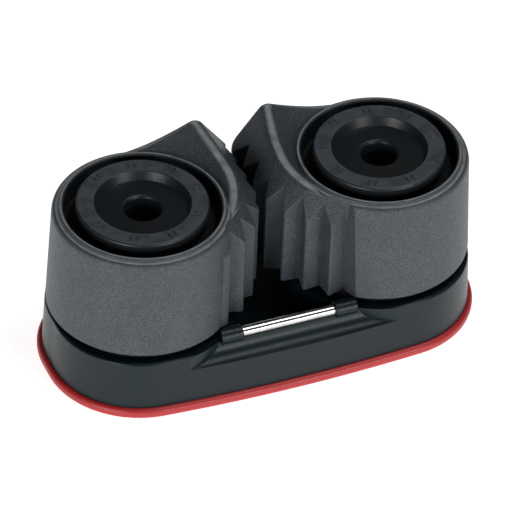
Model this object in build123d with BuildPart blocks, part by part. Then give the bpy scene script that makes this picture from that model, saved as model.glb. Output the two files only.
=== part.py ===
from build123d import *
from math import acos, asin, atan2, cos, degrees, floor, hypot, pi, radians, sin, tan
import os

os.makedirs("parts", exist_ok=True)

# A jam cleat with two ball-bearing cams. Sizes are in millimetres. +Z is up from the deck,
# X runs from cam to cam, and the loaded line leaves toward -Y. The origin is at the middle
# of the underside. Pieces that have a hand are made on the left and mirrored to the right.

# Screws and bearing, from the screw outward
HOLE_SPACING = 38.0
SCREW_HOLE_R = 2.75
SPIGOT_R = 6.5
RACE_R = 7.4
COLLAR_R = 8.3
BALL_D = 2.38
BALL_CLEARANCE = 0.03
BALL_GAP = 0.05
FLANGE_R = 10.0
CAP_BORE_GAP = 0.24
CAP_LIP = 1.06
RUNNING_GAP = 0.1
SLIP_GAP = 0.05

# Bearing heights
COLLAR_H = 1.2
SHELF_T = 0.8
SPACER_T = 1.1
AXIAL_GAP = 0.02
CAP_H = 3.0
CAP_LIP_T = 0.85
CAP_LIP_GAP = 0.15
FLANGE_T = 1.42
ROWS = ("lower", "middle", "upper")

# Hub face
DISH_R = 7.22
DISH_FOOT_R = 6.7
DISH_DEPTH = 1.4
DISH_RISE = 0.25
DISH_LIP = 0.5
FLANGE_ROUND = 0.4
DISH_ROUND = 0.15

# Cam
WELL_WIDTH = 0.9
RIM_WIDTH = 0.8
RIM_DROP = 0.58
RIM_HEIGHT = 0.5
CREASE_WIDTH = 0.2
SHOULDER_R = 0.75
SHOULDER_H = 1.0
DRAFT = 2.3
CAVITY_R = 10.4
CAVITY_H = 3.2
LINE_GAP = 0.05
LOBE_R = 16.0
LOBE_CENTRE_V = 3.73
BACK_V = 13.4
NOSE_R = 1.8
LEAD_IN_DROP = 4.0
LEAD_IN_ANGLE = 37.5
DISH_SLOPE = 31.0
DISH_SINK = 0.2
CREST_ROUND = 1.6
BACK_ROUND = 0.8
END_FLARE = 8.0
TOOTH_PITCH = 3.965
TOOTH_DEPTH = 1.9
TOOTH_HALF_ANGLE = 45.0
FIRST_GROOVE = 1.09
CAM_EDGE_ROUND = 0.35
OPENING_ANGLE = 50.0

# Return spring, stop and thrust washer
WIRE_D = 1.0
SPRING_TURNS = 3.25
SPRING_PITCH = 1.08
SPRING_BOSS_GAP = 0.5
SPRING_LEG = 2.4
SPRING_ROOT = 0.25
SPRING_TANG = 1.9
TANG_GAP = 0.15
POCKET_GAP = 0.4
POCKET_DEPTH = 1.2
STOP_ANGLE = 8.0
STOP_WIDTH = 1.2
STOP_WASHER_GAP = 0.29
STOP_GAP = 0.2
STOP_LENGTH = 2.5
STOP_FLOOR_GAP = 0.2
WASHER_T = 1.65
WASHER_GAP = 0.15
WASHER_WIDTH = 0.8
WASHER_RIM_GAP = 0.2

# Trim plate
TRIM_T = 1.7
TRIM_ROUND = 0.7
TRIM_OVERHANG = 0.75
END_MARGIN = 14.91
CORNER_R = 14.15
CORNER_Y = 1.36
MIDDLE_HALF_WIDTH = 16.28
PEG_R = 1.5
PEG_H = 2.6
PEG_X = 5.6
PEG_Y = 9.6

# Base
BASE_H = 8.3
BASE_DRAFT = 2.2
BASE_ROUND = 0.4
CUP_DEPTH = 0.6
CAM_OVERLAP = 1.1
RIM_WALL = 0.7
BOSS_R = 8.0
BOSS_H = 4.0
CHANNEL_DEPTH = 4.5
BASE_WALL = 2.0
WEB_T = 3.0
FOOT_BOSS_R = 9.7
PEG_BOSS_WALL = 1.1

# Front scoop, lip and wear pin
SCOOP_DROP = 2.5
SCOOP_DEPTH = 2.5
LIP_DROP = 0.25
SCOOP_HOLLOW = 0.69
LIP_T = 1.9
PIN_R = 0.85
PIN_SOCKET = 1.2
PIN_RISE = 0.2
PIN_SETBACK = 0.8
SOCKET_WALL = 0.4
SOCKET_LENGTH = 2.8
SOCKET_ROUND = 0.25

# Retaining clip under the base
CLIP_T = 0.7
CLIP_GROOVE = 0.8
CLIP_WIDTH = 2.2
CLIP_GAP = 0.03
CLIP_RECESS_H = 1.7
CLIP_OPENING = 40.0
SPIGOT_END_GAP = 0.1

# Plan sizes that follow
CAM_X = HOLE_SPACING / 2
BALL_PITCH_R = RACE_R + BALL_CLEARANCE + BALL_D / 2
BORE_R = RACE_R + BALL_D + 2 * BALL_CLEARANCE
CAP_R = BORE_R - CAP_BORE_GAP
CAP_LIP_R = BORE_R + CAP_LIP
WELL_R = CAP_LIP_R + WELL_WIDTH
RIM_R = WELL_R + RIM_WIDTH
CAM_TOP_R = RIM_R + CREASE_WIDTH + SHOULDER_R
BALLS_PER_ROW = floor(2 * pi * BALL_PITCH_R / (BALL_D + BALL_GAP))

# Heights that follow, from the deck up
BASE_Z = TRIM_T
BASE_TOP = BASE_Z + BASE_H
CUP_FLOOR = BASE_TOP - CUP_DEPTH
CAM_BOTTOM = CUP_FLOOR + WASHER_T + WASHER_GAP
BOSS_TOP = CUP_FLOOR + BOSS_H
SHELF_Z = BOSS_TOP + COLLAR_H
ROW_STEP = BALL_D + 2 * AXIAL_GAP + SPACER_T
FIRST_ROW_Z = SHELF_Z + SHELF_T + AXIAL_GAP + BALL_D / 2
CAP_Z = FIRST_ROW_Z + 2 * ROW_STEP + BALL_D / 2 + AXIAL_GAP
FLANGE_Z = CAP_Z + CAP_H
HUB_TOP = FLANGE_Z + FLANGE_T
RIM_Z = HUB_TOP - RIM_DROP
LEAD_IN_Z = RIM_Z - LEAD_IN_DROP
SHOULDER_Z = RIM_Z - RIM_HEIGHT - SHOULDER_H
CAM_R = CAM_TOP_R + (SHOULDER_Z - CAM_BOTTOM) * tan(radians(DRAFT))
CUP_R = CAM_R - CAM_OVERLAP
RIM_OUTER_R = CAM_R + RIM_WALL
WASHER_R = CUP_R - WASHER_RIM_GAP
STOP_R = WASHER_R - WASHER_WIDTH - STOP_WASHER_GAP - STOP_WIDTH / 2
POCKET_Z = CUP_FLOOR - POCKET_DEPTH
SPRING_R = BOSS_R + SPRING_BOSS_GAP + WIRE_D / 2
SPRING_Z = POCKET_Z + SLIP_GAP + WIRE_D / 2
SPRING_END_Z = SPRING_Z + SPRING_TURNS * SPRING_PITCH
WEB_Z = CUP_FLOOR - WEB_T

# Lobe of a cam, in plan about the cam's axis: u toward the line, v toward the hand side
REACH = CAM_X - LINE_GAP
LOBE_CENTRE_U = REACH - LOBE_R
LOBE_OFFSET = hypot(LOBE_CENTRE_U, LOBE_CENTRE_V)
LOBE_TURN = acos((CAM_R**2 - LOBE_R**2 - LOBE_OFFSET**2) / (2 * LOBE_R * LOBE_OFFSET))
LOBE_START = degrees(atan2(LOBE_CENTRE_V, LOBE_CENTRE_U) - LOBE_TURN)
LOBE_SPREAD = 60.0
SLOPE_H = LEAD_IN_DROP + (hypot(REACH, BACK_V) - RIM_R) * tan(radians(DISH_SLOPE))
CREASE_Z = RIM_Z - RIM_HEIGHT
CREASE_R = RIM_R + CREASE_WIDTH
FAR = 3 * CAM_R

# Outline of the trim plate: long sides bowed outward, tangent to the corner arcs
HALF_LENGTH = CAM_X + END_MARGIN
CORNER_X = HALF_LENGTH - CORNER_R
SIDE_RISE = MIDDLE_HALF_WIDTH - CORNER_Y
SIDE_R = (SIDE_RISE**2 + CORNER_X**2 - CORNER_R**2) / (2 * (SIDE_RISE - CORNER_R))
SIDE_ANGLE = degrees(asin(CORNER_X / (SIDE_R - CORNER_R)))

STOP_ARC = CenterArc((0, 0), STOP_R, 180 - STOP_ANGLE / 2, STOP_ANGLE)
STOP_TRAVEL_ARC = CenterArc((0, 0), STOP_R, 180 - STOP_ANGLE / 2, STOP_ANGLE + OPENING_ANGLE)

LEFT = Plane(origin=(-CAM_X, 0, 0))
SIDES = {"left": -CAM_X, "right": CAM_X}


def section(x):
    """Upright plane through the axis at x, with radius across and height up."""
    return Plane(origin=(x, 0, 0), x_dir=(1, 0, 0), z_dir=(0, -1, 0))


def spindle(x):
    """Vertical axis at x."""
    return Axis((x, 0, 0), (0, 0, 1))


def turned(x, outline):
    """Round piece about the axis at x, from the radius and height of its corners."""
    with BuildPart() as piece:
        with BuildSketch(section(x)):
            with BuildLine():
                Polyline(*outline, close=True)
            make_face()
        revolve(axis=spindle(x))
    return piece


def ring(x, inner, outer, low, high):
    """Plain round ring about the axis at x."""
    return turned(x, [(inner, low), (outer, low), (outer, high), (inner, high)])


def mirrored(piece):
    """Right-hand copy of a piece made on the left."""
    with BuildPart() as copy:
        mirror(piece.part, about=Plane.YZ)
    return copy


def save(piece, name):
    """Label a finished piece and write it out."""
    piece.part.label = name
    export_step(piece.part, f"parts/{name}.step")


def circles(piece, radius, height):
    """Round edges of a piece with this radius at this height."""
    return piece.edges().filter_by(GeomType.CIRCLE).filter_by(
        lambda e: abs(e.radius - radius) < 0.001 and abs(e.center().Z - height) < 0.001
    )


# Plan outline that the trim plate and the base share
with BuildSketch() as outline:
    with BuildLine():
        CenterArc((0, MIDDLE_HALF_WIDTH - SIDE_R), SIDE_R, 90 - SIDE_ANGLE, SIDE_ANGLE)
        CenterArc((CORNER_X, CORNER_Y), CORNER_R, 0, 90 - SIDE_ANGLE)
        Line((HALF_LENGTH, 0), (HALF_LENGTH, CORNER_Y))
        mirror(about=Plane.XZ)
        mirror(about=Plane.YZ)
    make_face()

# What the base's outer wall encloses
with BuildSketch() as inside:
    add(outline.sketch)
    offset(amount=-TRIM_OVERHANG - BASE_WALL)

# Trim plate, with four pegs that locate it in the base
with BuildPart() as trim_plate:
    with BuildSketch():
        add(outline.sketch)
    extrude(amount=TRIM_T)
    fillet(trim_plate.edges().filter_by(Plane.XY), TRIM_ROUND)
    with BuildSketch(Plane.XY.offset(TRIM_T)):
        with GridLocations(2 * PEG_X, 2 * PEG_Y, 2, 2):
            Circle(PEG_R)
    extrude(amount=PEG_H)
    with Locations((-CAM_X, 0, TRIM_T), (CAM_X, 0, TRIM_T)):
        Hole(SCREW_HOLE_R)
save(trim_plate, "trim_plate")

# Scoop across the front of the base, between the two cups
FRONT_Y = -(MIDDLE_HALF_WIDTH - TRIM_OVERHANG - (BASE_H - SCOOP_DROP) * tan(radians(BASE_DRAFT)))
SCOOP_Z = BASE_TOP - SCOOP_DROP
LIP_Y = FRONT_Y + SCOOP_DEPTH
LIP_Z = BASE_TOP - LIP_DROP
CHANNEL_Z = BASE_TOP - CHANNEL_DEPTH
SCOOP_CHORD = hypot(LIP_Y - FRONT_Y, LIP_Z - SCOOP_Z)
SCOOP_MIDDLE = (
    (FRONT_Y + LIP_Y) / 2 + SCOOP_HOLLOW * (LIP_Z - SCOOP_Z) / SCOOP_CHORD,
    (SCOOP_Z + LIP_Z) / 2 - SCOOP_HOLLOW * (LIP_Y - FRONT_Y) / SCOOP_CHORD,
)
PIN_Y = LIP_Y + PIN_SETBACK
PIN_Z = BASE_TOP + PIN_RISE
SOCKET_END_X = CAM_X - (RIM_OUTER_R**2 - PIN_Y**2) ** 0.5
PIN_SHOWN_X = SOCKET_END_X - SOCKET_LENGTH

# Space between the cups above the front scoop, the lip and the line's channel
with BuildPart() as channel_cutter:
    with BuildSketch(Plane.YZ):
        with BuildLine():
            ThreePointArc((FRONT_Y, SCOOP_Z), SCOOP_MIDDLE, (LIP_Y, LIP_Z))
            Polyline(
                (LIP_Y, LIP_Z),
                (LIP_Y + LIP_T, LIP_Z),
                (LIP_Y + LIP_T, CHANNEL_Z),
                (FAR, CHANNEL_Z),
                (FAR, FAR),
                (-FAR, FAR),
                (-FAR, SCOOP_Z),
                (FRONT_Y, SCOOP_Z),
            )
        make_face()
    extrude(amount=CAM_X, both=True)
    with Locations((-CAM_X, 0, BASE_Z), (CAM_X, 0, BASE_Z)):
        Cylinder(RIM_OUTER_R, 2 * FAR, mode=Mode.SUBTRACT)

# Left-hand pocket for the return spring, its tang hole and the arc that the stop travels
with BuildPart() as spring_pocket:
    with BuildSketch(LEFT.offset(POCKET_Z)):
        Circle(SPRING_R + WIRE_D / 2 + POCKET_GAP)
        Circle(BOSS_R, mode=Mode.SUBTRACT)
    extrude(amount=FAR)
    with BuildSketch(LEFT.offset(CAM_BOTTOM - STOP_LENGTH - STOP_FLOOR_GAP)):
        SlotArc(STOP_TRAVEL_ARC, STOP_WIDTH + 2 * STOP_GAP)
    extrude(amount=FAR)
    with BuildSketch(LEFT.offset(WEB_Z)):
        with Locations((SPRING_R, SPRING_ROOT)):
            Circle(WIRE_D / 2 + TANG_GAP)
    extrude(amount=WEB_T)

# Round sockets that reach from the cups' rims, clear of the cams, to where the wear pin shows
with BuildPart() as sockets:
    for end in (-1, 1):
        with BuildSketch(Plane(origin=(end * PIN_SHOWN_X, PIN_Y, PIN_Z), z_dir=(end, 0, 0))):
            Circle(PIN_R + SOCKET_WALL)
        extrude(amount=SOCKET_LENGTH + RIM_WALL)
    for end in sockets.faces().filter_by(Plane.YZ).sort_by(lambda f: abs(f.center().X))[:2]:
        fillet(end.edges(), SOCKET_ROUND)
    with Locations((-CAM_X, 0, PIN_Z), (CAM_X, 0, PIN_Z)):
        Cylinder(CAM_R + RIM_WALL / 2, FAR, mode=Mode.SUBTRACT)

# Base: drafted shell with two cups, a boss in each, the channel and the pin's sockets
with BuildPart() as base:
    with BuildSketch(Plane.XY.offset(BASE_Z)):
        add(outline.sketch)
        offset(amount=-TRIM_OVERHANG)
    extrude(amount=BASE_H, taper=BASE_DRAFT)
    fillet(base.faces().sort_by(Axis.Z)[-1].edges(), BASE_ROUND)
    add(channel_cutter.part, mode=Mode.SUBTRACT)
    add(sockets.part)
    for x in SIDES.values():
        with BuildSketch(Plane((x, 0, CUP_FLOOR))):
            Circle(CUP_R)
        extrude(amount=FAR, mode=Mode.SUBTRACT)
        with BuildSketch(Plane((x, 0, CUP_FLOOR))):
            Circle(BOSS_R)
        extrude(amount=BOSS_H)
    add(spring_pocket.part, mode=Mode.SUBTRACT)
    add(mirrored(spring_pocket).part, mode=Mode.SUBTRACT)
    with BuildSketch(Plane.XY.offset(BASE_Z)):
        with Locations((-CAM_X, 0), (CAM_X, 0)):
            Circle(CUP_R)
            Circle(FOOT_BOSS_R, mode=Mode.SUBTRACT)
        add(inside.sketch, mode=Mode.INTERSECT)
        with GridLocations(2 * PEG_X, 2 * PEG_Y, 2, 2):
            Circle(PEG_R + PEG_BOSS_WALL, mode=Mode.SUBTRACT)
    extrude(amount=WEB_Z - BASE_Z, mode=Mode.SUBTRACT)
    with BuildSketch(Plane.XY.offset(BASE_Z)):
        with GridLocations(2 * PEG_X, 2 * PEG_Y, 2, 2):
            Circle(PEG_R + SLIP_GAP)
    extrude(amount=PEG_H + SLIP_GAP, mode=Mode.SUBTRACT)
    for x in SIDES.values():
        with BuildSketch(Plane((x, 0, BASE_Z))):
            Circle(SPIGOT_R + SLIP_GAP)
        extrude(amount=FAR, mode=Mode.SUBTRACT)
        with BuildSketch(Plane((x, 0, BASE_Z))):
            Circle(SPIGOT_R - CLIP_GROOVE + CLIP_WIDTH + SLIP_GAP)
        extrude(amount=CLIP_RECESS_H, mode=Mode.SUBTRACT)
    with BuildSketch(Plane.YZ):
        with Locations((PIN_Y, PIN_Z)):
            Circle(PIN_R + BALL_CLEARANCE)
    extrude(amount=PIN_SHOWN_X + PIN_SOCKET, both=True, mode=Mode.SUBTRACT)
save(base, "base")

# Wear pin that the line bears on at the front lip
with BuildPart() as wear_pin:
    with BuildSketch(Plane.YZ):
        with Locations((PIN_Y, PIN_Z)):
            Circle(PIN_R)
    extrude(amount=PIN_SHOWN_X + PIN_SOCKET, both=True)
save(wear_pin, "wear_pin")


def groove_place(distance):
    """Point, and outward angle, at this distance along the toothed face from where it starts."""
    arc_length = LOBE_R * radians(-LOBE_START)
    if distance < arc_length:
        angle = LOBE_START + degrees(distance / LOBE_R)
        u = LOBE_CENTRE_U + LOBE_R * cos(radians(angle))
        v = LOBE_CENTRE_V + LOBE_R * sin(radians(angle))
        return (u, v), angle
    return (REACH, LOBE_CENTRE_V + distance - arc_length), 0.0


def crest_edge(edge):
    """Whether an edge of the lobe is part of the crest between its top and its slope."""
    centre = edge.center()
    return centre.Z > RIM_Z and centre.Y < BACK_V - TOOTH_DEPTH / 2


def back_edge(edge):
    """Whether an edge of the lobe is an upper edge of its back face."""
    centre = edge.center()
    return centre.Z > LEAD_IN_Z and abs(centre.Y - BACK_V) < SLIP_GAP and edge.length > CREST_ROUND


# Left cam's rim and what lies inside it, above the foot of the lead-in
with BuildPart() as rim_core:
    with BuildSketch(LEFT.offset(LEAD_IN_Z)):
        Circle(CREASE_R)
    extrude(amount=FAR)


def lead_in(start):
    """What the lead-in slope takes off, from this angle about the lobe's centre to its back."""
    far_end = (LOBE_CENTRE_U + FAR * cos(radians(start)), LOBE_CENTRE_V + FAR * sin(radians(start)))
    arc_start = LOBE_START - LOBE_SPREAD
    arc = CenterArc((LOBE_CENTRE_U, LOBE_CENTRE_V), LOBE_R, arc_start, -arc_start)
    with BuildPart() as cutter:
        with BuildSketch(LEFT.offset(LEAD_IN_Z)):
            Polygon(
                (LOBE_CENTRE_U, LOBE_CENTRE_V),
                far_end,
                (FAR, far_end[1]),
                (FAR, FAR),
                (LOBE_CENTRE_U, FAR),
                align=None,
            )
        extrude(amount=SLOPE_H, taper=-END_FLARE)
        with BuildSketch(LEFT.offset(LEAD_IN_Z)):
            with BuildLine():
                add(arc)
                Polyline(arc @ 1, (REACH, FAR), (-FAR, FAR), arc @ 0)
            make_face()
        extrude(amount=SLOPE_H, taper=LEAD_IN_ANGLE, mode=Mode.SUBTRACT)
    return cutter


def make_cam(first_groove):
    """Left-hand cam whose first groove lies this far along the toothed face."""
    last_groove_v = BACK_V - TOOTH_DEPTH
    grooves = []
    distance = first_groove
    while groove_place(distance)[0][1] < last_groove_v:
        grooves.append(groove_place(distance))
        distance += TOOTH_PITCH

    # Tooth grooves, which stop short of the rim
    with BuildPart() as groove_cutter:
        with BuildSketch(LEFT.offset(CAM_BOTTOM)):
            for (u, v), angle in grooves:
                with Locations(Location((u, v, 0), angle)):
                    mouth = TOOTH_DEPTH * tan(radians(TOOTH_HALF_ANGLE))
                    Polygon(
                        (-TOOTH_DEPTH, 0),
                        (TOOTH_DEPTH, -2 * mouth),
                        (TOOTH_DEPTH, 2 * mouth),
                        align=None,
                    )
        extrude(amount=FAR)
        add(rim_core.part, mode=Mode.SUBTRACT)

    # Lobe: eccentric toothed face, flat at the line, rounded nose, a top that rises outward
    # from the rim, and the lead-in slope, which meets it in a rounded crest
    dish_r = RIM_R + CREASE_WIDTH / 2
    with BuildPart() as lobe:
        with BuildSketch(LEFT.offset(CAM_BOTTOM)):
            with BuildLine():
                CenterArc((LOBE_CENTRE_U, LOBE_CENTRE_V), LOBE_R, LOBE_START, -LOBE_START)
                Line((REACH, LOBE_CENTRE_V), (REACH, BACK_V - NOSE_R))
                CenterArc((REACH - NOSE_R, BACK_V - NOSE_R), NOSE_R, 0, 90)
                Polyline(
                    (REACH - NOSE_R, BACK_V),
                    (0, BACK_V),
                    (0, 0),
                    groove_place(0)[0],
                )
            make_face()
        extrude(amount=FAR)
        with BuildSketch(section(-CAM_X)):
            Polygon(
                (0, CREASE_Z - DISH_SINK),
                (dish_r - DISH_SINK / tan(radians(DISH_SLOPE)), CREASE_Z - DISH_SINK),
                (dish_r + FAR, CREASE_Z + FAR * tan(radians(DISH_SLOPE))),
                (dish_r + FAR, 4 * FAR),
                (0, 4 * FAR),
                align=None,
            )
        revolve(axis=spindle(-CAM_X), mode=Mode.SUBTRACT)
        add(lead_in(LOBE_START - LOBE_SPREAD / 2).part, mode=Mode.SUBTRACT)
        crest = lobe.edges().filter_by(crest_edge)
        fillet(crest, CREST_ROUND)
        back = lobe.edges().filter_by(back_edge)
        fillet(back, BACK_ROUND)

    # What the slope takes off the round body: nothing inside the rim or before the first groove
    with BuildPart() as body_slope:
        add(lead_in(groove_place(first_groove)[1]).part)
        add(rim_core.part, mode=Mode.SUBTRACT)

    with BuildPart() as cam:
        with BuildSketch(section(-CAM_X)):
            with BuildLine():
                Polyline((0, CAM_BOTTOM), (CAM_R, CAM_BOTTOM), (CAM_TOP_R, SHOULDER_Z))
                EllipticalCenterArc(
                    (CREASE_R, SHOULDER_Z), SHOULDER_R, SHOULDER_H, start_angle=0, arc_size=90
                )
                Polyline((CREASE_R, CREASE_Z), (RIM_R, CREASE_Z))
                ThreePointArc((RIM_R, CREASE_Z), ((RIM_R + WELL_R) / 2, RIM_Z), (WELL_R, CREASE_Z))
                Polyline((WELL_R, CREASE_Z), (0, CREASE_Z), (0, CAM_BOTTOM))
            make_face()
        revolve(axis=spindle(-CAM_X))
        fillet(circles(cam, CAM_R, CAM_BOTTOM), CAM_EDGE_ROUND)
        add(body_slope.part, mode=Mode.SUBTRACT)
        add(lobe.part)
        add(groove_cutter.part, mode=Mode.SUBTRACT)
        with BuildSketch(section(-CAM_X)):
            with BuildLine():
                Polyline(
                    (0, 0),
                    (CAVITY_R, 0),
                    (CAVITY_R, CAM_BOTTOM + CAVITY_H),
                    (BORE_R, CAM_BOTTOM + CAVITY_H),
                    (BORE_R, CAP_Z),
                    (WELL_R, CAP_Z),
                    (WELL_R, FAR),
                    (0, FAR),
                    close=True,
                )
            make_face()
        revolve(axis=spindle(-CAM_X), mode=Mode.SUBTRACT)
        with BuildSketch(LEFT.offset(CAM_BOTTOM)):
            with Locations((SPRING_ROOT, SPRING_R + SPRING_LEG / 2)):
                Rectangle(WIRE_D + 2 * TANG_GAP, SPRING_LEG + WIRE_D)
        extrude(amount=SPRING_END_Z + WIRE_D - CAM_BOTTOM, mode=Mode.SUBTRACT)
        with BuildSketch(LEFT.offset(CAM_BOTTOM - STOP_LENGTH)):
            SlotArc(STOP_ARC, STOP_WIDTH)
        extrude(amount=STOP_LENGTH + SLIP_GAP)
    return cam


save(make_cam(FIRST_GROOVE + TOOTH_PITCH / 2), "cam_left")
save(mirrored(make_cam(FIRST_GROOVE)), "cam_right")

# Return spring on the left: coils round the base's boss, one tang down, one leg outward,
# each rooted a little inside the coil
with BuildPart() as spring:
    with BuildLine():
        coil = Helix(
            pitch=SPRING_PITCH,
            height=SPRING_TURNS * SPRING_PITCH,
            radius=SPRING_R,
            center=(-CAM_X, 0, SPRING_Z),
        )
    with BuildSketch(Plane(origin=coil @ 0, z_dir=coil % 0)):
        Circle(WIRE_D / 2)
    sweep(is_frenet=True)
    with BuildSketch(Plane(origin=coil @ 0 + Vector(0, SPRING_ROOT, SPRING_ROOT), z_dir=(0, 0, -1))):
        Circle(WIRE_D / 2)
    extrude(amount=SPRING_TANG + SPRING_ROOT)
    with BuildSketch(Plane(origin=coil @ 1 + Vector(SPRING_ROOT, -SPRING_ROOT, 0), z_dir=(0, 1, 0))):
        Circle(WIRE_D / 2)
    extrude(amount=SPRING_LEG + SPRING_ROOT)
save(spring, "torsion_spring_left")
save(mirrored(spring), "torsion_spring_right")

spigot_z = BASE_Z + SPIGOT_END_GAP
clip_top = BASE_Z + CLIP_RECESS_H - CLIP_GAP
clip_low = clip_top - CLIP_T
groove_r = SPIGOT_R - CLIP_GROOVE

for side, x in SIDES.items():
    # Hub: fixed inner race with its flange, collar, and spigot through the base's boss
    hub = turned(
        x,
        [
            (SCREW_HOLE_R, spigot_z),
            (SPIGOT_R, spigot_z),
            (SPIGOT_R, clip_low - CLIP_GAP),
            (groove_r, clip_low - CLIP_GAP),
            (groove_r, clip_top + CLIP_GAP),
            (SPIGOT_R, clip_top + CLIP_GAP),
            (SPIGOT_R, BOSS_TOP),
            (COLLAR_R, BOSS_TOP),
            (COLLAR_R, SHELF_Z),
            (RACE_R, SHELF_Z),
            (RACE_R, FLANGE_Z),
            (FLANGE_R, FLANGE_Z),
            (FLANGE_R, HUB_TOP),
            (DISH_R, HUB_TOP),
            (DISH_FOOT_R, HUB_TOP - DISH_DEPTH),
            (SCREW_HOLE_R, HUB_TOP - DISH_DEPTH + DISH_RISE),
        ],
    )
    with hub:
        fillet(circles(hub, FLANGE_R, HUB_TOP), FLANGE_ROUND)
        fillet(circles(hub, DISH_R, HUB_TOP), DISH_ROUND)
        fillet(circles(hub, SCREW_HOLE_R, HUB_TOP - DISH_DEPTH + DISH_RISE), DISH_LIP)
    save(hub, f"hub_{side}")

    # Cap under the flange: it keeps the top row in and its lip holds the cam down
    lip_low = CAP_Z + CAP_LIP_GAP
    cap = turned(
        x,
        [
            (RACE_R + SLIP_GAP, CAP_Z),
            (CAP_R, CAP_Z),
            (CAP_R, lip_low),
            (CAP_LIP_R, lip_low),
            (CAP_LIP_R, lip_low + CAP_LIP_T),
            (CAP_R, lip_low + CAP_LIP_T),
            (CAP_R, FLANGE_Z),
            (RACE_R + SLIP_GAP, FLANGE_Z),
        ],
    )
    save(cap, f"bearing_cap_{side}")

    # Shelf washer under the balls, three rows of balls and the rings that part them
    shelf = ring(x, RACE_R + SLIP_GAP, BORE_R - RUNNING_GAP, SHELF_Z, SHELF_Z + SHELF_T)
    save(shelf, f"ball_shelf_{side}")
    for index, row_name in enumerate(ROWS):
        row_z = FIRST_ROW_Z + index * ROW_STEP
        with BuildPart(Plane((x, 0, row_z))) as balls:
            with PolarLocations(BALL_PITCH_R, BALLS_PER_ROW):
                Sphere(BALL_D / 2)
        save(balls, f"ball_row_{row_name}_{side}")
        if row_name != "upper":
            spacer_z = row_z + BALL_D / 2 + AXIAL_GAP
            spacer = ring(x, RACE_R + RUNNING_GAP, BORE_R - RUNNING_GAP, spacer_z, spacer_z + SPACER_T)
            save(spacer, f"ball_spacer_{row_name}_{side}")

    # Thrust washer that carries the cam on the cup's floor
    washer = ring(x, WASHER_R - WASHER_WIDTH, WASHER_R, CUP_FLOOR, CUP_FLOOR + WASHER_T)
    save(washer, f"thrust_washer_{side}")

    # Open clip in the spigot's groove under the base
    with BuildPart() as clip:
        with BuildSketch(Plane((x, 0, clip_low))):
            Circle(groove_r + CLIP_WIDTH)
            Circle(groove_r + CLIP_GAP, mode=Mode.SUBTRACT)
            with BuildLine():
                Polyline(
                    (0, 0),
                    (FAR, -FAR * tan(radians(CLIP_OPENING / 2))),
                    (FAR, FAR * tan(radians(CLIP_OPENING / 2))),
                    close=True,
                )
            make_face(mode=Mode.SUBTRACT)
        extrude(amount=CLIP_T)
    save(clip, f"retaining_clip_{side}")
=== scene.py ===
"""Jam cleat with two ball-bearing cams: finishes, small pieces, floor, lights and camera."""
from math import cos, radians, sin

import bpy
from mathutils import Matrix, Vector


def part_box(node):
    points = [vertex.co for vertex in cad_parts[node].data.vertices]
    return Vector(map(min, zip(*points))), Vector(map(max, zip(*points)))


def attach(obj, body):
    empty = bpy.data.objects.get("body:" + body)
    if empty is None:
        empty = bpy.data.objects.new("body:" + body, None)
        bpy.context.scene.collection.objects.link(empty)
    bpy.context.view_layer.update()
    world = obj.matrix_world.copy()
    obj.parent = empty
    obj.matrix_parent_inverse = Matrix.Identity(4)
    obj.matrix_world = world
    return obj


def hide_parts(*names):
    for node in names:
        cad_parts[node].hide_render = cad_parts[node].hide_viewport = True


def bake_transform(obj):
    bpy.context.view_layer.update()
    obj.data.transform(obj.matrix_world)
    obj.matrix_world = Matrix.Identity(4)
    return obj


bl_info = {
    "name": "Cam Cleat",
    "version": (1, 0, 0),
    "blender": (4, 5, 0),
    "location": "3D View > Sidebar > Cam Cleat",
    "description": "Finishes the jam cleat's pieces and sets up its studio",
    "category": "Object",
}

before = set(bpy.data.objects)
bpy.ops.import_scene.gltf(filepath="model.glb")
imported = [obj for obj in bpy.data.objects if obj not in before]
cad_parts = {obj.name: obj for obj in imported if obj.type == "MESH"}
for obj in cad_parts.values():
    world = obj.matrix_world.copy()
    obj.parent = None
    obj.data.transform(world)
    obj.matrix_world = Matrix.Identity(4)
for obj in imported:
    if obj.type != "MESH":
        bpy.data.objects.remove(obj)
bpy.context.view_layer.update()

MM = 0.001
SIDES = ("left", "right")
ROWS = ("lower", "middle", "upper")
BLACK_PIECES = ("bearing_cap", "ball_shelf", "thrust_washer", "ball_spacer_lower", "ball_spacer_middle")

# Painted highlight colours, in place of the plastic's own colour: light painted on the cams' crests and on
# the hubs' flange faces
PAINTED_HIGHLIGHT = (0.29, 0.31, 0.32)
FLANGE_PAINTED_LIGHT = (0.085, 0.098, 0.115)

# Heights below the hubs' top over which the painted highlight starts, and the gap round a bearing cap out
# to which the well is painted in shade
CREST_HIGHLIGHT_DROP = (3.4 * MM, 1.2 * MM)
FLANGE_LIGHT_DROP = (0.5 * MM, 0.25 * MM)
WELL_GAP = 0.9 * MM
WELL_BLUR = 0.1 * MM
GROOVE_REACH = 2.5 * MM
FLOOR_SIZE = 3.0


# Places and sizes that come from the frame

def middle(node):
    """Middle of a node's box."""
    low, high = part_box(node)
    return (low + high) / 2


def width(node):
    """Size of a node's box along X."""
    low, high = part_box(node)
    return high.x - low.x


def hub_top():
    """Height of the hubs' top faces."""
    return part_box("hub_left")[1].z


def below_top(drops):
    """Heights that lie this far below the hubs' top."""
    return [hub_top() - drop for drop in drops]


# Settings that a user would change

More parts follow.
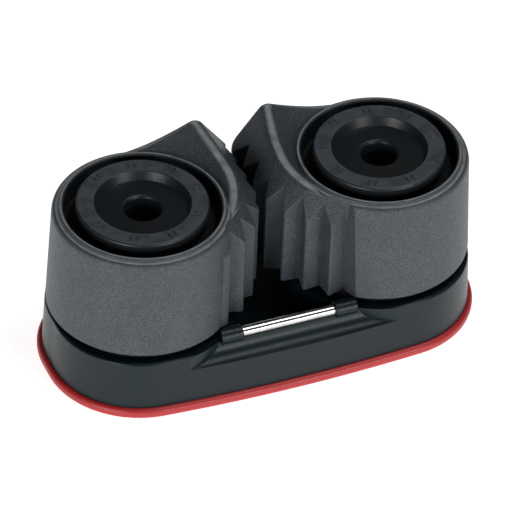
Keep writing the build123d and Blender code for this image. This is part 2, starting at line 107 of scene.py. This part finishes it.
class CleatFinishes(bpy.types.PropertyGroup):
    """Colours of the cleat's pieces."""

    cam_colour: bpy.props.FloatVectorProperty(
        name="Cam colour", description="Glass-filled plastic of the two cams",
        subtype="COLOR", size=3, min=0, max=1, default=(0.039, 0.048, 0.057),
    )
    base_colour: bpy.props.FloatVectorProperty(
        name="Base colour", description="Plastic of the base",
        subtype="COLOR", size=3, min=0, max=1, default=(0.002, 0.009, 0.0125),
    )
    hub_colour: bpy.props.FloatVectorProperty(
        name="Hub colour", description="Plastic of the two hubs",
        subtype="COLOR", size=3, min=0, max=1, default=(0.011, 0.015, 0.019),
    )
    bearing_colour: bpy.props.FloatVectorProperty(
        name="Bearing colour", description="Plastic of the caps, washers and ball spacers",
        subtype="COLOR", size=3, min=0, max=1, default=(0.003, 0.003, 0.0035),
    )
    ball_colour: bpy.props.FloatVectorProperty(
        name="Ball colour", description="Polymer of the bearing balls",
        subtype="COLOR", size=3, min=0, max=1, default=(0.62, 0.58, 0.47),
    )
    trim_colour: bpy.props.FloatVectorProperty(
        name="Trim colour", description="Plate that shows as a red line round the base",
        subtype="COLOR", size=3, min=0, max=1, default=(0.40, 0.018, 0.020),
    )
    steel_colour: bpy.props.FloatVectorProperty(
        name="Steel colour", description="Stainless steel of the wear pin and the clips",
        subtype="COLOR", size=3, min=0, max=1, default=(0.60, 0.60, 0.59),
    )
    spring_colour: bpy.props.FloatVectorProperty(
        name="Spring colour", description="Drawn wire of the return springs",
        subtype="COLOR", size=3, min=0, max=1, default=(0.42, 0.42, 0.43),
    )


class CleatSizes(bpy.types.PropertyGroup):
    """Sizes of the pieces that are made here."""

    mark_count: bpy.props.IntProperty(
        name="Marks", description="Raised marks round each hub's flange", min=3, max=24, default=9,
    )
    mark_radius: bpy.props.FloatProperty(
        name="Mark radius", description="Distance of the marks from the screw hole's axis",
        subtype="DISTANCE", unit="LENGTH", default=8.6 * MM,
    )
    mark_length: bpy.props.FloatProperty(
        name="Mark length", description="Length of a mark, outward from the hub's axis",
        subtype="DISTANCE", unit="LENGTH", default=1.5 * MM,
    )
    mark_width: bpy.props.FloatProperty(
        name="Mark width", description="Width of one bar of a mark",
        subtype="DISTANCE", unit="LENGTH", default=0.34 * MM,
    )
    mark_gap: bpy.props.FloatProperty(
        name="Mark gap", description="Distance between the two bars of a mark",
        subtype="DISTANCE", unit="LENGTH", default=0.95 * MM,
    )
    mark_height: bpy.props.FloatProperty(
        name="Mark height", description="How far a mark stands out of the flange",
        subtype="DISTANCE", unit="LENGTH", default=0.16 * MM,
    )
    ball_size: bpy.props.FloatProperty(
        name="Ball diameter", description="Diameter of a bearing ball",
        subtype="DISTANCE", unit="LENGTH",
        default=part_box("ball_row_lower_left")[1].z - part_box("ball_row_lower_left")[0].z,
    )
    ball_count: bpy.props.IntProperty(
        name="Balls", description="Balls in one row", min=3, max=40, default=22,
    )
    wire_size: bpy.props.FloatProperty(
        name="Wire diameter", description="Wire of the return springs",
        subtype="DISTANCE", unit="LENGTH", default=1.0 * MM,
    )
    spring_turns: bpy.props.FloatProperty(
        name="Spring turns", description="Turns of a return spring", min=1, max=8, default=3.25,
    )
    spring_pitch: bpy.props.FloatProperty(
        name="Spring pitch", description="Rise of a return spring in one turn",
        subtype="DISTANCE", unit="LENGTH", default=1.08 * MM,
    )


class CleatView(bpy.types.PropertyGroup):
    """Camera and light."""

    azimuth: bpy.props.FloatProperty(
        name="Azimuth", description="Direction that the camera looks from, round the cleat",
        subtype="ANGLE", unit="ROTATION", default=radians(-23.545),
    )
    elevation: bpy.props.FloatProperty(
        name="Elevation", description="Height of the camera above the horizon",
        subtype="ANGLE", unit="ROTATION", default=radians(40.498),
    )
    roll: bpy.props.FloatProperty(
        name="Roll", description="Turn of the camera about its own line of sight",
        subtype="ANGLE", unit="ROTATION", default=radians(2.458),
    )
    distance: bpy.props.FloatProperty(
        name="Distance", description="Distance from the camera to its target",
        subtype="DISTANCE", unit="LENGTH", default=1.0593,
    )
    lens: bpy.props.FloatProperty(
        name="Lens", description="Focal length of the camera, in millimetres",
        subtype="DISTANCE_CAMERA", min=1, default=498.1,
    )
    target: bpy.props.FloatVectorProperty(
        name="Target", description="Point that the camera looks at",
        subtype="XYZ", unit="LENGTH", size=3, default=(-0.72 * MM, -0.43 * MM, 14.0 * MM),
    )
    light: bpy.props.FloatProperty(
        name="Light", description="Factor on the power of every lamp", min=0, default=1.0,
    )


# Materials

def shader(name):
    """New material: its node tree and its shader node."""
    material = bpy.data.materials.new(name)
    material.use_nodes = True
    tree = material.node_tree
    return material, tree, tree.nodes["Principled BSDF"]


def place(tree):
    """Object coordinates."""
    return tree.nodes.new("ShaderNodeTexCoord").outputs["Object"]


def noise(tree, scale, detail=2.0, roughness=0.5, vector=None):
    """Noise of this scale, per metre."""
    node = tree.nodes.new("ShaderNodeTexNoise")
    node.inputs["Scale"].default_value = scale
    node.inputs["Detail"].default_value = detail
    node.inputs["Roughness"].default_value = roughness
    tree.links.new(vector or place(tree), node.inputs["Vector"])
    return node.outputs["Fac"]


def stretch(tree, scale):
    """Object coordinates scaled along each axis."""
    node = tree.nodes.new("ShaderNodeMapping")
    node.inputs["Scale"].default_value = scale
    tree.links.new(place(tree), node.inputs["Vector"])
    return node.outputs["Vector"]


def ramp(tree, value, low, high, to_low=0.0, to_high=1.0):
    """Value brought from one range to another, smoothly and within its ends."""
    node = tree.nodes.new("ShaderNodeMapRange")
    node.interpolation_type = "SMOOTHSTEP"
    ends = {"From Min": low, "From Max": high, "To Min": to_low, "To Max": to_high}
    for socket, number in ends.items():
        node.inputs[socket].default_value = number
    tree.links.new(value, node.inputs["Value"])
    return node.outputs["Result"]


def blend_colours(tree, factor, first, second):
    """Colour between two colours or sockets."""
    node = tree.nodes.new("ShaderNodeMix")
    node.data_type = "RGBA"
    tree.links.new(factor, node.inputs["Factor"])
    for socket, colour in (("A", first), ("B", second)):
        target = next(s for s in node.inputs if s.name == socket and s.type == "RGBA")
        if isinstance(colour, bpy.types.NodeSocket):
            tree.links.new(colour, target)
        else:
            target.default_value = (*colour, 1)
    return next(s for s in node.outputs if s.type == "RGBA")


def times(colour, factor):
    """Colour made lighter or darker."""
    return tuple(min(channel * factor, 1.0) for channel in colour)


def eased(tree, radius):
    """Normal rounded over sharp edges by this radius."""
    node = tree.nodes.new("ShaderNodeBevel")
    node.samples = 6
    node.inputs["Radius"].default_value = radius
    return node.outputs["Normal"]


def bump(tree, height, distance, strength, normal=None):
    """Normal with the height's relief on it."""
    node = tree.nodes.new("ShaderNodeBump")
    node.inputs["Distance"].default_value = distance
    node.inputs["Strength"].default_value = strength
    tree.links.new(height, node.inputs["Height"])
    if normal:
        tree.links.new(normal, node.inputs["Normal"])
    return node.outputs["Normal"]


def worn_edges(tree, radius, low, high):
    """From 0 on flat faces to 1 on edges, from how far the eased normal leans."""
    geometry = tree.nodes.new("ShaderNodeNewGeometry")
    dot = tree.nodes.new("ShaderNodeVectorMath")
    dot.operation = "DOT_PRODUCT"
    tree.links.new(geometry.outputs["Normal"], dot.inputs[0])
    tree.links.new(eased(tree, radius), dot.inputs[1])
    return ramp(tree, dot.outputs["Value"], high, low)


def above(tree, low, high):
    """From 0 below the first height to 1 above the second."""
    split = tree.nodes.new("ShaderNodeSeparateXYZ")
    tree.links.new(place(tree), split.inputs[0])
    return ramp(tree, split.outputs["Z"], low, high)


def facing_up(tree, low, high):
    """From 0 where the normal's upright part is below the first value to 1 above the second."""
    split = tree.nodes.new("ShaderNodeSeparateXYZ")
    tree.links.new(tree.nodes.new("ShaderNodeNewGeometry").outputs["Normal"], split.inputs[0])
    return ramp(tree, split.outputs["Z"], low, high)


def product(tree, first, second):
    """Product of two values."""
    node = tree.nodes.new("ShaderNodeMath")
    node.operation = "MULTIPLY"
    tree.links.new(first, node.inputs[0])
    tree.links.new(second, node.inputs[1])
    return node.outputs[0]


def from_axis(tree, x):
    """Distance from the nearer of the two upright axes at x and -x."""
    vector = place(tree)
    for operation, other in (("ABSOLUTE", None), ("SUBTRACT", (x, 0, 0)), ("MULTIPLY", (1, 1, 0))):
        node = tree.nodes.new("ShaderNodeVectorMath")
        node.operation = operation
        tree.links.new(vector, node.inputs[0])
        if other:
            node.inputs[1].default_value = other
        vector = node.outputs["Vector"]
    length = tree.nodes.new("ShaderNodeVectorMath")
    length.operation = "LENGTH"
    tree.links.new(vector, length.inputs[0])
    return length.outputs["Value"]


def crevices(tree, reach, low, high):
    """From 1 deep in a groove to 0 on an open face."""
    node = tree.nodes.new("ShaderNodeAmbientOcclusion")
    node.samples = 6
    node.inputs["Distance"].default_value = reach
    return ramp(tree, node.outputs["AO"], low, high, 1.0, 0.0)


def moulded(
    name, colour, grain, roughness, edge, contrast, relief, wear,
    specular=0.5, painted_groove_shade=0.0, painted_highlight_heights=None, painted_highlight_colour=PAINTED_HIGHLIGHT, painted_well_shade=None,
):
    """Moulded plastic: mottled and speckled colour, a grain of this size, and eased, paler edges.

    Grooves are darkened as painted shade from ambient occlusion; faces that look up over the given heights
    turn to a painted highlight colour, standing in for light on them; and the given axis and radius mark a
    well whose inside is painted dark as shade.
    """
    material, tree, principled = shader(name)
    mottle = ramp(tree, noise(tree, 0.05 / grain, 3.0), 0.35, 0.65)
    speckle = ramp(tree, noise(tree, 1.0 / grain, 2.0, 0.7), 0.38, 0.64)
    light = times(colour, 1 + contrast)
    tone = blend_colours(tree, mottle, light, times(light, 1 - contrast / 6))
    grained = blend_colours(tree, speckle, times(colour, 1 - contrast / 1.5), tone)
    edge_wear_and_painted_highlight = worn_edges(tree, 2 * edge, 0.80, 0.985)
    pale = ramp(tree, edge_wear_and_painted_highlight, 0.0, 1.0, 0.0, wear)
    shown = blend_colours(tree, pale, grained, times(colour, 1.9))
    # Painted highlight: faces that look up above the given heights are painted pale, standing in for light
    # falling on them.
    if painted_highlight_heights:
        edge_wear_and_painted_highlight = product(tree, facing_up(tree, 0.88, 0.99), above(tree, *painted_highlight_heights))
        patchy_highlight = product(tree, edge_wear_and_painted_highlight, ramp(tree, noise(tree, 500.0, 3.0), 0.25, 0.6, 0.55, 1.0))
        shown = blend_colours(tree, patchy_highlight, shown, painted_highlight_colour)
    # Painted shade: the colour is darkened in grooves by ambient occlusion, standing in for the shade that
    # falls there.
    if painted_groove_shade:
        groove_shade = crevices(tree, GROOVE_REACH, 0.1, 0.6)
        shown = blend_colours(tree, groove_shade, shown, times(colour, 1 - painted_groove_shade))
    # Painted shade: inside the well round the bearing cap, the colour is darkened to near black, standing
    # in for the shade in the well.
    if painted_well_shade:
        axis, radius = painted_well_shade
        well_shade = ramp(tree, from_axis(tree, axis), radius - WELL_BLUR, radius + WELL_BLUR, 1.0, 0.0)
        shown = blend_colours(tree, well_shade, shown, times(colour, 0.1))
    tree.links.new(shown, principled.inputs["Base Color"])
    gloss = ramp(tree, noise(tree, 0.6 / grain, 2.0), 0.3, 0.7, roughness - 0.07, roughness + 0.09)
    tree.links.new(gloss, principled.inputs["Roughness"])
    principled.inputs["Specular IOR Level"].default_value = specular
    height = noise(tree, 1.0 / grain, 3.0, 0.6)
    tree.links.new(bump(tree, height, grain * 0.3, relief, eased(tree, edge)), principled.inputs["Normal"])
    return material


def polished_steel(name, colour):
    """Polished stainless rod with fine lines along it and a few faint rub marks."""
    material, tree, principled = shader(name)
    lines = noise(tree, 1.0, 2.0, 0.5, stretch(tree, (60, 3000, 3000)))
    rubs = noise(tree, 900.0, 3.0)
    tint = ramp(tree, rubs, 0.35, 0.7)
    tree.links.new(blend_colours(tree, tint, times(colour, 0.8), colour), principled.inputs["Base Color"])
    tree.links.new(ramp(tree, lines, 0.3, 0.7, 0.15, 0.21), principled.inputs["Roughness"])
    principled.inputs["Metallic"].default_value = 1.0
    tree.links.new(bump(tree, lines, 1e-6, 0.04), principled.inputs["Normal"])
    return material


def drawn_wire(name, colour):
    """Spring wire, dulled by drawing, with streaks that run level round the coil."""
    material, tree, principled = shader(name)
    streaks = noise(tree, 1.0, 3.0, 0.6, stretch(tree, (600, 600, 14000)))
    tone = blend_colours(tree, ramp(tree, streaks, 0.3, 0.7), times(colour, 0.7), times(colour, 1.15))
    tree.links.new(tone, principled.inputs["Base Color"])
    tree.links.new(ramp(tree, streaks, 0.3, 0.7, 0.28, 0.42), principled.inputs["Roughness"])
    principled.inputs["Metallic"].default_value = 1.0
    tree.links.new(bump(tree, streaks, 4e-6, 0.4), principled.inputs["Normal"])
    return material


def ball_polymer(name, colour):
    """Ground and tumbled polymer balls, faintly translucent."""
    material, tree, principled = shader(name)
    cloud = ramp(tree, noise(tree, 700.0, 3.0), 0.35, 0.7)
    tone = blend_colours(tree, cloud, times(colour, 0.9), times(colour, 1.08))
    tree.links.new(tone, principled.inputs["Base Color"])
    tree.links.new(ramp(tree, noise(tree, 2500.0), 0.3, 0.7, 0.22, 0.34), principled.inputs["Roughness"])
    principled.inputs["Subsurface Weight"].default_value = 0.15
    principled.inputs["Subsurface Scale"].default_value = 0.3 * MM
    return material


def pale_floor(name):
    """Matte studio paper."""
    material, tree, principled = shader(name)
    tone = ramp(tree, noise(tree, 12.0, 3.0), 0.3, 0.7)
    paper = blend_colours(tree, tone, (0.90, 0.90, 0.90), (0.93, 0.93, 0.93))
    tree.links.new(paper, principled.inputs["Base Color"])
    tree.links.new(paper, principled.inputs["Emission Color"])
    principled.inputs["Emission Strength"].default_value = 0.90
    principled.inputs["Roughness"].default_value = 0.9
    principled.inputs["Specular IOR Level"].default_value = 0.1
    return material


def coat(node, material):
    """Gives a CAD node this material on every slot."""
    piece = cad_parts[node]
    if not piece.material_slots:
        piece.data.materials.append(material)
    for slot in piece.material_slots:
        slot.material = material


# Geometry Nodes

def new_tree(name, inputs):
    """Geometry node tree with these named inputs: the tree, its input node and its output node."""
    tree = bpy.data.node_groups.new(name, "GeometryNodeTree")
    tree.interface.new_socket("Geometry", in_out="OUTPUT", socket_type="NodeSocketGeometry")
    for label, kind in inputs:
        tree.interface.new_socket(label, in_out="INPUT", socket_type="NodeSocket" + kind)
    return tree, tree.nodes.new("NodeGroupInput"), tree.nodes.new("NodeGroupOutput")


def node(tree, kind, inputs=(), **settings):
    """Node of this kind, with its settings and with values or links on its inputs."""
    made = tree.nodes.new(kind)
    for key, value in settings.items():
        setattr(made, key, value)
    for key, value in dict(inputs).items():
        socket = made.inputs[key]
        if isinstance(value, bpy.types.NodeSocket):
            tree.links.new(value, socket)
        else:
            socket.default_value = value
    return made


def finish_tree(tree, geometry, origin, material, output):
    """Moves the geometry to its origin, makes it real, shades it smooth and sets its material."""
    real = node(tree, "GeometryNodeRealizeInstances", {"Geometry": geometry})
    moved = node(tree, "GeometryNodeTransform", {"Geometry": real.outputs[0], "Translation": origin})
    smooth = node(tree, "GeometryNodeSetShadeSmooth", {"Geometry": moved.outputs[0]})
    coated = node(tree, "GeometryNodeSetMaterial", {"Geometry": smooth.outputs[0], "Material": material})
    tree.links.new(coated.outputs[0], output.inputs["Geometry"])


def grown(name, tree, values, body, replaced=(), ends=None):
    """Plain mesh from a tree and its input values, riding on a body, or, when ends are given, baked in
    place on no body.
    """
    holder = bpy.data.objects.new(name + "_tree", bpy.data.meshes.new(name + "_tree"))
    bpy.context.scene.collection.objects.link(holder)
    modifier = holder.modifiers.new("Grow", "NODES")
    modifier.node_group = tree
    for item in tree.interface.items_tree:
        if item.in_out == "INPUT":
            modifier[item.identifier] = values[item.name]
    bpy.context.view_layer.update()
    graph = bpy.context.evaluated_depsgraph_get()
    mesh = bpy.data.meshes.new_from_object(holder.evaluated_get(graph))
    bpy.data.objects.remove(holder)
    piece = bpy.data.objects.new(name, mesh)
    piece.data.name = name
    bpy.context.scene.collection.objects.link(piece)
    if ends:
        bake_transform(piece)
    else:
        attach(piece, body)
    if replaced:
        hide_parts(*replaced)
    return piece


def ring_points(tree, count, radius):
    """Points evenly round a circle, and for each one the turn that faces it outward."""
    circle = node(tree, "GeometryNodeMeshCircle", {"Vertices": count, "Radius": radius})
    position = node(tree, "GeometryNodeInputPosition")
    turn = node(
        tree, "FunctionNodeAlignRotationToVector", {"Vector": position.outputs[0]},
        axis="X", pivot_axis="Z",
    )
    return circle.outputs["Mesh"], turn.outputs["Rotation"]


def marks_tree():
    """Ring of raised pairs of bars that point outward."""
    tree, given, output = new_tree("hub_marks", [
        ("Count", "Int"), ("Radius", "Float"), ("Length", "Float"), ("Width", "Float"),
        ("Gap", "Float"), ("Height", "Float"), ("Centre", "Vector"), ("Material", "Material"),
    ])
    sock = given.outputs
    size = node(tree, "ShaderNodeCombineXYZ", {0: sock["Length"], 1: sock["Width"], 2: sock["Height"]})
    halved = node(
        tree, "ShaderNodeVectorMath", {0: size.outputs[0], 1: (0.5, 0.5, 1.0)}, operation="MULTIPLY",
    )
    grain = node(tree, "GeometryNodeMeshUVSphere", {"Segments": 16, "Rings": 10, "Radius": 1.0})
    bar = node(tree, "GeometryNodeTransform", {
        "Geometry": grain.outputs["Mesh"], "Scale": halved.outputs[0],
    })
    joined = node(tree, "GeometryNodeJoinGeometry")
    for end in (-0.5, 0.5):
        aside = node(tree, "ShaderNodeMath", {0: sock["Gap"], 1: end}, operation="MULTIPLY")
        shift = node(tree, "ShaderNodeCombineXYZ", {1: aside.outputs[0]})
        moved = node(tree, "GeometryNodeTransform", {
            "Geometry": bar.outputs[0], "Translation": shift.outputs[0],
        })
        tree.links.new(moved.outputs[0], joined.inputs[0])
    points, turn = ring_points(tree, sock["Count"], sock["Radius"])
    placed = node(tree, "GeometryNodeInstanceOnPoints", {
        "Points": points, "Instance": joined.outputs[0], "Rotation": turn,
    })
    finish_tree(tree, placed.outputs[0], sock["Centre"], sock["Material"], output)
    return tree


def balls_tree():
    """One row of bearing balls."""
    tree, given, output = new_tree("ball_row", [
        ("Count", "Int"), ("Radius", "Float"), ("Ball", "Float"), ("Centre", "Vector"),
        ("Material", "Material"),
    ])
    sock = given.outputs
    half = node(tree, "ShaderNodeMath", {0: sock["Ball"], 1: 0.5}, operation="MULTIPLY")
    ball = node(tree, "GeometryNodeMeshUVSphere", {"Segments": 24, "Rings": 14, "Radius": half.outputs[0]})
    points, turn = ring_points(tree, sock["Count"], sock["Radius"])
    placed = node(tree, "GeometryNodeInstanceOnPoints", {
        "Points": points, "Instance": ball.outputs["Mesh"], "Rotation": turn,
    })
    finish_tree(tree, placed.outputs[0], sock["Centre"], sock["Material"], output)
    return tree


def spring_tree():
    """Coil with a straight tang down from its lower end and a leg outward from its upper end."""
    tree, given, output = new_tree("return_spring", [
        ("Radius", "Float"), ("Rise", "Float"), ("Turns", "Float"), ("Wire", "Float"), ("Tang", "Float"),
        ("Leg", "Float"), ("Mirror", "Float"), ("Centre", "Vector"), ("Material", "Material"),
    ])
    sock = given.outputs
    coil = node(tree, "GeometryNodeCurveSpiral", {
        "Resolution": 48, "Rotations": sock["Turns"], "Start Radius": sock["Radius"],
        "End Radius": sock["Radius"], "Height": sock["Rise"], "Reverse": False,
    })
    down = node(tree, "ShaderNodeMath", {0: sock["Tang"], 1: -1.0}, operation="MULTIPLY")
    foot = node(tree, "ShaderNodeCombineXYZ", {0: sock["Radius"], 2: down.outputs[0]})
    root = node(tree, "ShaderNodeCombineXYZ", {0: sock["Radius"]})
    tang = node(tree, "GeometryNodeCurvePrimitiveLine", {"Start": root.outputs[0], "End": foot.outputs[0]})
    out = node(tree, "ShaderNodeMath", {0: sock["Radius"], 1: sock["Leg"]}, operation="ADD")
    top = node(tree, "ShaderNodeCombineXYZ", {1: sock["Radius"], 2: sock["Rise"]})
    tip = node(tree, "ShaderNodeCombineXYZ", {1: out.outputs[0], 2: sock["Rise"]})
    leg = node(tree, "GeometryNodeCurvePrimitiveLine", {"Start": top.outputs[0], "End": tip.outputs[0]})
    path = node(tree, "GeometryNodeJoinGeometry")
    for part in (leg, tang, coil):
        tree.links.new(part.outputs[0], path.inputs[0])
    half = node(tree, "ShaderNodeMath", {0: sock["Wire"], 1: 0.5}, operation="MULTIPLY")
    outline = node(tree, "GeometryNodeCurvePrimitiveCircle", {"Resolution": 20, "Radius": half.outputs[0]})
    wire = node(tree, "GeometryNodeCurveToMesh", {
        "Curve": path.outputs[0], "Profile Curve": outline.outputs[0], "Fill Caps": True,
    })
    hand = node(tree, "ShaderNodeCombineXYZ", {0: sock["Mirror"], 1: 1.0, 2: 1.0})
    handed = node(tree, "GeometryNodeTransform", {"Geometry": wire.outputs[0], "Scale": hand.outputs[0]})
    finish_tree(tree, handed.outputs[0], sock["Centre"], sock["Material"], output)
    return tree


# Operators, one for each group of pieces

class CleatOperator(bpy.types.Operator):
    """Finishes one group of the cleat's pieces"""

    bl_options = {"REGISTER"}

    def execute(self, context):
        self.make(context.scene.cleat_finishes, context.scene.cleat_sizes)
        return {"FINISHED"}


class CLEAT_OT_cams(CleatOperator):
    """Gives both cams their glass-filled plastic"""

    bl_idname = "cleat.cams"
    bl_label = "Cams"

    def make(self, finishes, sizes):
        # Painted shade in the grooves and inside the wells, painted highlight on the crests.
        plastic = moulded(
            "cam_plastic", finishes.cam_colour, grain=0.17 * MM, roughness=0.50, edge=0.18 * MM,
            contrast=0.85, relief=0.9, wear=0.35, painted_groove_shade=0.92,
            painted_highlight_heights=below_top(CREST_HIGHLIGHT_DROP),
            painted_well_shade=(middle("hub_right").x, width("bearing_cap_right") / 2 + WELL_GAP),
        )
        for side in SIDES:
            coat(f"cam_{side}", plastic)


class CLEAT_OT_base(CleatOperator):
    """Gives the base its smooth dark plastic"""

    bl_idname = "cleat.base"
    bl_label = "Base"

    def make(self, finishes, sizes):
        # Painted shade in the grooves.
        plastic = moulded(
            "base_plastic", finishes.base_colour, grain=0.12 * MM, roughness=0.36, edge=0.15 * MM,
            contrast=0.4, relief=0.25, wear=0.3, specular=0.30, painted_groove_shade=0.9,
        )
        coat("base", plastic)


class CLEAT_OT_trim(CleatOperator):
    """Gives the trim plate its red plastic"""

    bl_idname = "cleat.trim"
    bl_label = "Trim plate"

    def make(self, finishes, sizes):
        plastic = moulded(
            "trim_red", finishes.trim_colour, grain=0.2 * MM, roughness=0.42, edge=0.1 * MM,
            contrast=0.12, relief=0.15, wear=0.1,
        )
        coat("trim_plate", plastic)


class CLEAT_OT_hubs(CleatOperator):
    """Gives the hubs their plastic and raises a ring of plain marks on each flange"""

    bl_idname = "cleat.hubs"
    bl_label = "Hubs"

    def make(self, finishes, sizes):
        # Painted shade in the grooves, painted light on the flange faces and marks that look up.
        plastic = moulded(
            "hub_plastic", finishes.hub_colour, grain=0.11 * MM, roughness=0.38, edge=0.12 * MM,
            contrast=0.25, relief=0.2, wear=0.4, painted_groove_shade=0.9,
            painted_highlight_heights=below_top(FLANGE_LIGHT_DROP), painted_highlight_colour=FLANGE_PAINTED_LIGHT,
        )
        tree = marks_tree()
        for side in SIDES:
            coat(f"hub_{side}", plastic)
            top = middle(f"hub_{side}")
            top.z = hub_top()
            grown(f"hub_marks_{side}", tree, {
                "Count": sizes.mark_count, "Radius": sizes.mark_radius, "Length": sizes.mark_length,
                "Width": sizes.mark_width, "Gap": sizes.mark_gap, "Height": sizes.mark_height,
                "Centre": top, "Material": plastic,
            }, "base_body")


class CLEAT_OT_bearings(CleatOperator):
    """Makes the rows of balls and finishes the caps, shelves, spacers and washers"""

    bl_idname = "cleat.bearings"
    bl_label = "Ball bearings"

    def make(self, finishes, sizes):
        black = moulded(
            "bearing_plastic", finishes.bearing_colour, grain=0.1 * MM, roughness=0.5, edge=0.08 * MM,
            contrast=0.2, relief=0.15, wear=0.2, specular=0.3,
        )
        ivory = ball_polymer("ball_polymer", finishes.ball_colour)
        tree = balls_tree()
        for side in SIDES:
            for piece in BLACK_PIECES:
                coat(f"{piece}_{side}", black)
            for row in ROWS:
                node_name = f"ball_row_{row}_{side}"
                grown(f"balls_{row}_{side}", tree, {
                    "Count": sizes.ball_count, "Radius": (width(node_name) - sizes.ball_size) / 2,
                    "Ball": sizes.ball_size, "Centre": middle(node_name), "Material": ivory,
                }, f"balls_{side}_body", [node_name])


class CLEAT_OT_springs(CleatOperator):
    """Winds the return springs"""

    bl_idname = "cleat.springs"
    bl_label = "Return springs"

    def make(self, finishes, sizes):
        steel = drawn_wire("spring_steel", finishes.spring_colour)
        tree = spring_tree()
        wire = sizes.wire_size
        for side, hand in zip(SIDES, (1.0, -1.0)):
            name = f"torsion_spring_{side}"
            low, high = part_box(name)
            centre = middle(f"hub_{side}")
            radius = (high.x - low.x - wire) / 2
            rise = sizes.spring_turns * sizes.spring_pitch
            centre.z = high.z - wire / 2 - rise
            end = centre + Vector((0, 0, rise))
            grown(f"return_spring_{side}", tree, {
                "Radius": radius, "Rise": rise, "Turns": sizes.spring_turns, "Wire": wire,
                "Tang": centre.z - low.z, "Leg": high.y - radius, "Mirror": hand,
                "Centre": centre, "Material": steel,
            }, "base_body", [name], (f"cam_{side}_body", centre, end))


class CLEAT_OT_steel(CleatOperator):
    """Polishes the wear pin and the clips under the base"""

    bl_idname = "cleat.steel"
    bl_label = "Wear pin and clips"

    def make(self, finishes, sizes):
        steel = polished_steel("stainless", finishes.steel_colour)
        for name in ("wear_pin", *(f"retaining_clip_{side}" for side in SIDES)):
            coat(name, steel)


class CLEAT_OT_stage(bpy.types.Operator):
    """Sets the floor, the lamps, the sky and the camera"""

    bl_idname = "cleat.stage"
    bl_label = "Stage"
    bl_options = {"REGISTER"}

    def execute(self, context):
        view = context.scene.cleat_view
        self.floor()
        self.lamp("overhead", (0.20, -0.05, 0.58), (0, 0, 0.012), 0.22, 0.9 * view.light)
        self.lamp("window", (-0.54, -0.42, 0.14), (0, 0, 0.015), 0.26, 2.2 * view.light)
        self.lamp("fill", (0.22, -0.62, 0.17), (0, 0, 0.015), 0.25, 1.65 * view.light)
        self.sky(context, 0.05)
        self.camera(context, view)
        return {"FINISHED"}

    def floor(self):
        """Flat sheet that the cleat stands on."""
        half = FLOOR_SIZE / 2
        mesh = bpy.data.meshes.new("floor")
        corners = [(-half, -half, 0), (half, -half, 0), (half, half, 0), (-half, half, 0)]
        mesh.from_pydata(corners, [], [(0, 1, 2, 3)])
        mesh.materials.append(pale_floor("floor_paper"))
        sheet = bpy.data.objects.new("floor", mesh)
        bpy.context.scene.collection.objects.link(sheet)

    def lamp(self, name, spot, aim, size, power):
        """Square soft lamp."""
        data = bpy.data.lights.new(name, "AREA")
        data.size = size
        data.energy = power
        lamp = bpy.data.objects.new(name, data)
        lamp.location = spot
        lamp.rotation_euler = (Vector(aim) - Vector(spot)).to_track_quat("-Z", "Y").to_euler()
        bpy.context.scene.collection.objects.link(lamp)

    def sky(self, context, strength):
        """Even white light from all round."""
        world = bpy.data.worlds.new("studio")
        world.use_nodes = True
        background = world.node_tree.nodes["Background"]
        background.inputs["Color"].default_value = (1, 1, 1, 1)
        background.inputs["Strength"].default_value = strength
        context.scene.world = world
        context.scene.view_settings.view_transform = "Standard"

    def camera(self, context, view):
        """Long lens that looks down at the cleat's front left."""
        data = bpy.data.cameras.new("camera")
        data.lens = view.lens
        data.clip_start, data.clip_end = 0.01, 10.0
        camera = bpy.data.objects.new("camera", data)
        across = cos(view.elevation)
        back = Vector((sin(view.azimuth) * across, -cos(view.azimuth) * across, sin(view.elevation)))
        aim = (-back).to_track_quat("-Z", "Y").to_matrix().to_4x4()
        place_at = Matrix.Translation(Vector(view.target) + back * view.distance)
        camera.matrix_world = place_at @ aim @ Matrix.Rotation(view.roll, 4, "Z")
        context.scene.collection.objects.link(camera)
        context.scene.camera = camera


GROUPS = (
    CLEAT_OT_cams, CLEAT_OT_base, CLEAT_OT_trim, CLEAT_OT_hubs,
    CLEAT_OT_bearings, CLEAT_OT_springs, CLEAT_OT_steel, CLEAT_OT_stage,
)


class CLEAT_PT_panel(bpy.types.Panel):
    """Lists the operators that make and finish the cleat"""

    bl_idname = "CLEAT_PT_panel"
    bl_label = "Cam Cleat"
    bl_space_type = "VIEW_3D"
    bl_region_type = "UI"
    bl_category = "Cam Cleat"

    def draw(self, context):
        for operator in GROUPS:
            self.layout.operator(operator.bl_idname)


CLASSES = (CleatFinishes, CleatSizes, CleatView, *GROUPS, CLEAT_PT_panel)


def register():
    for cls in CLASSES:
        bpy.utils.register_class(cls)
    bpy.types.Scene.cleat_finishes = bpy.props.PointerProperty(type=CleatFinishes)
    bpy.types.Scene.cleat_sizes = bpy.props.PointerProperty(type=CleatSizes)
    bpy.types.Scene.cleat_view = bpy.props.PointerProperty(type=CleatView)


def unregister():
    del bpy.types.Scene.cleat_view
    del bpy.types.Scene.cleat_sizes
    del bpy.types.Scene.cleat_finishes
    for cls in reversed(CLASSES):
        bpy.utils.unregister_class(cls)


def main():
    """Registers the classes, then runs every operator, which makes and finishes everything."""
    register()
    for operator in GROUPS:
        group, name = operator.bl_idname.split(".")
        getattr(getattr(bpy.ops, group), name)()


if __name__ == "__main__":
    main()
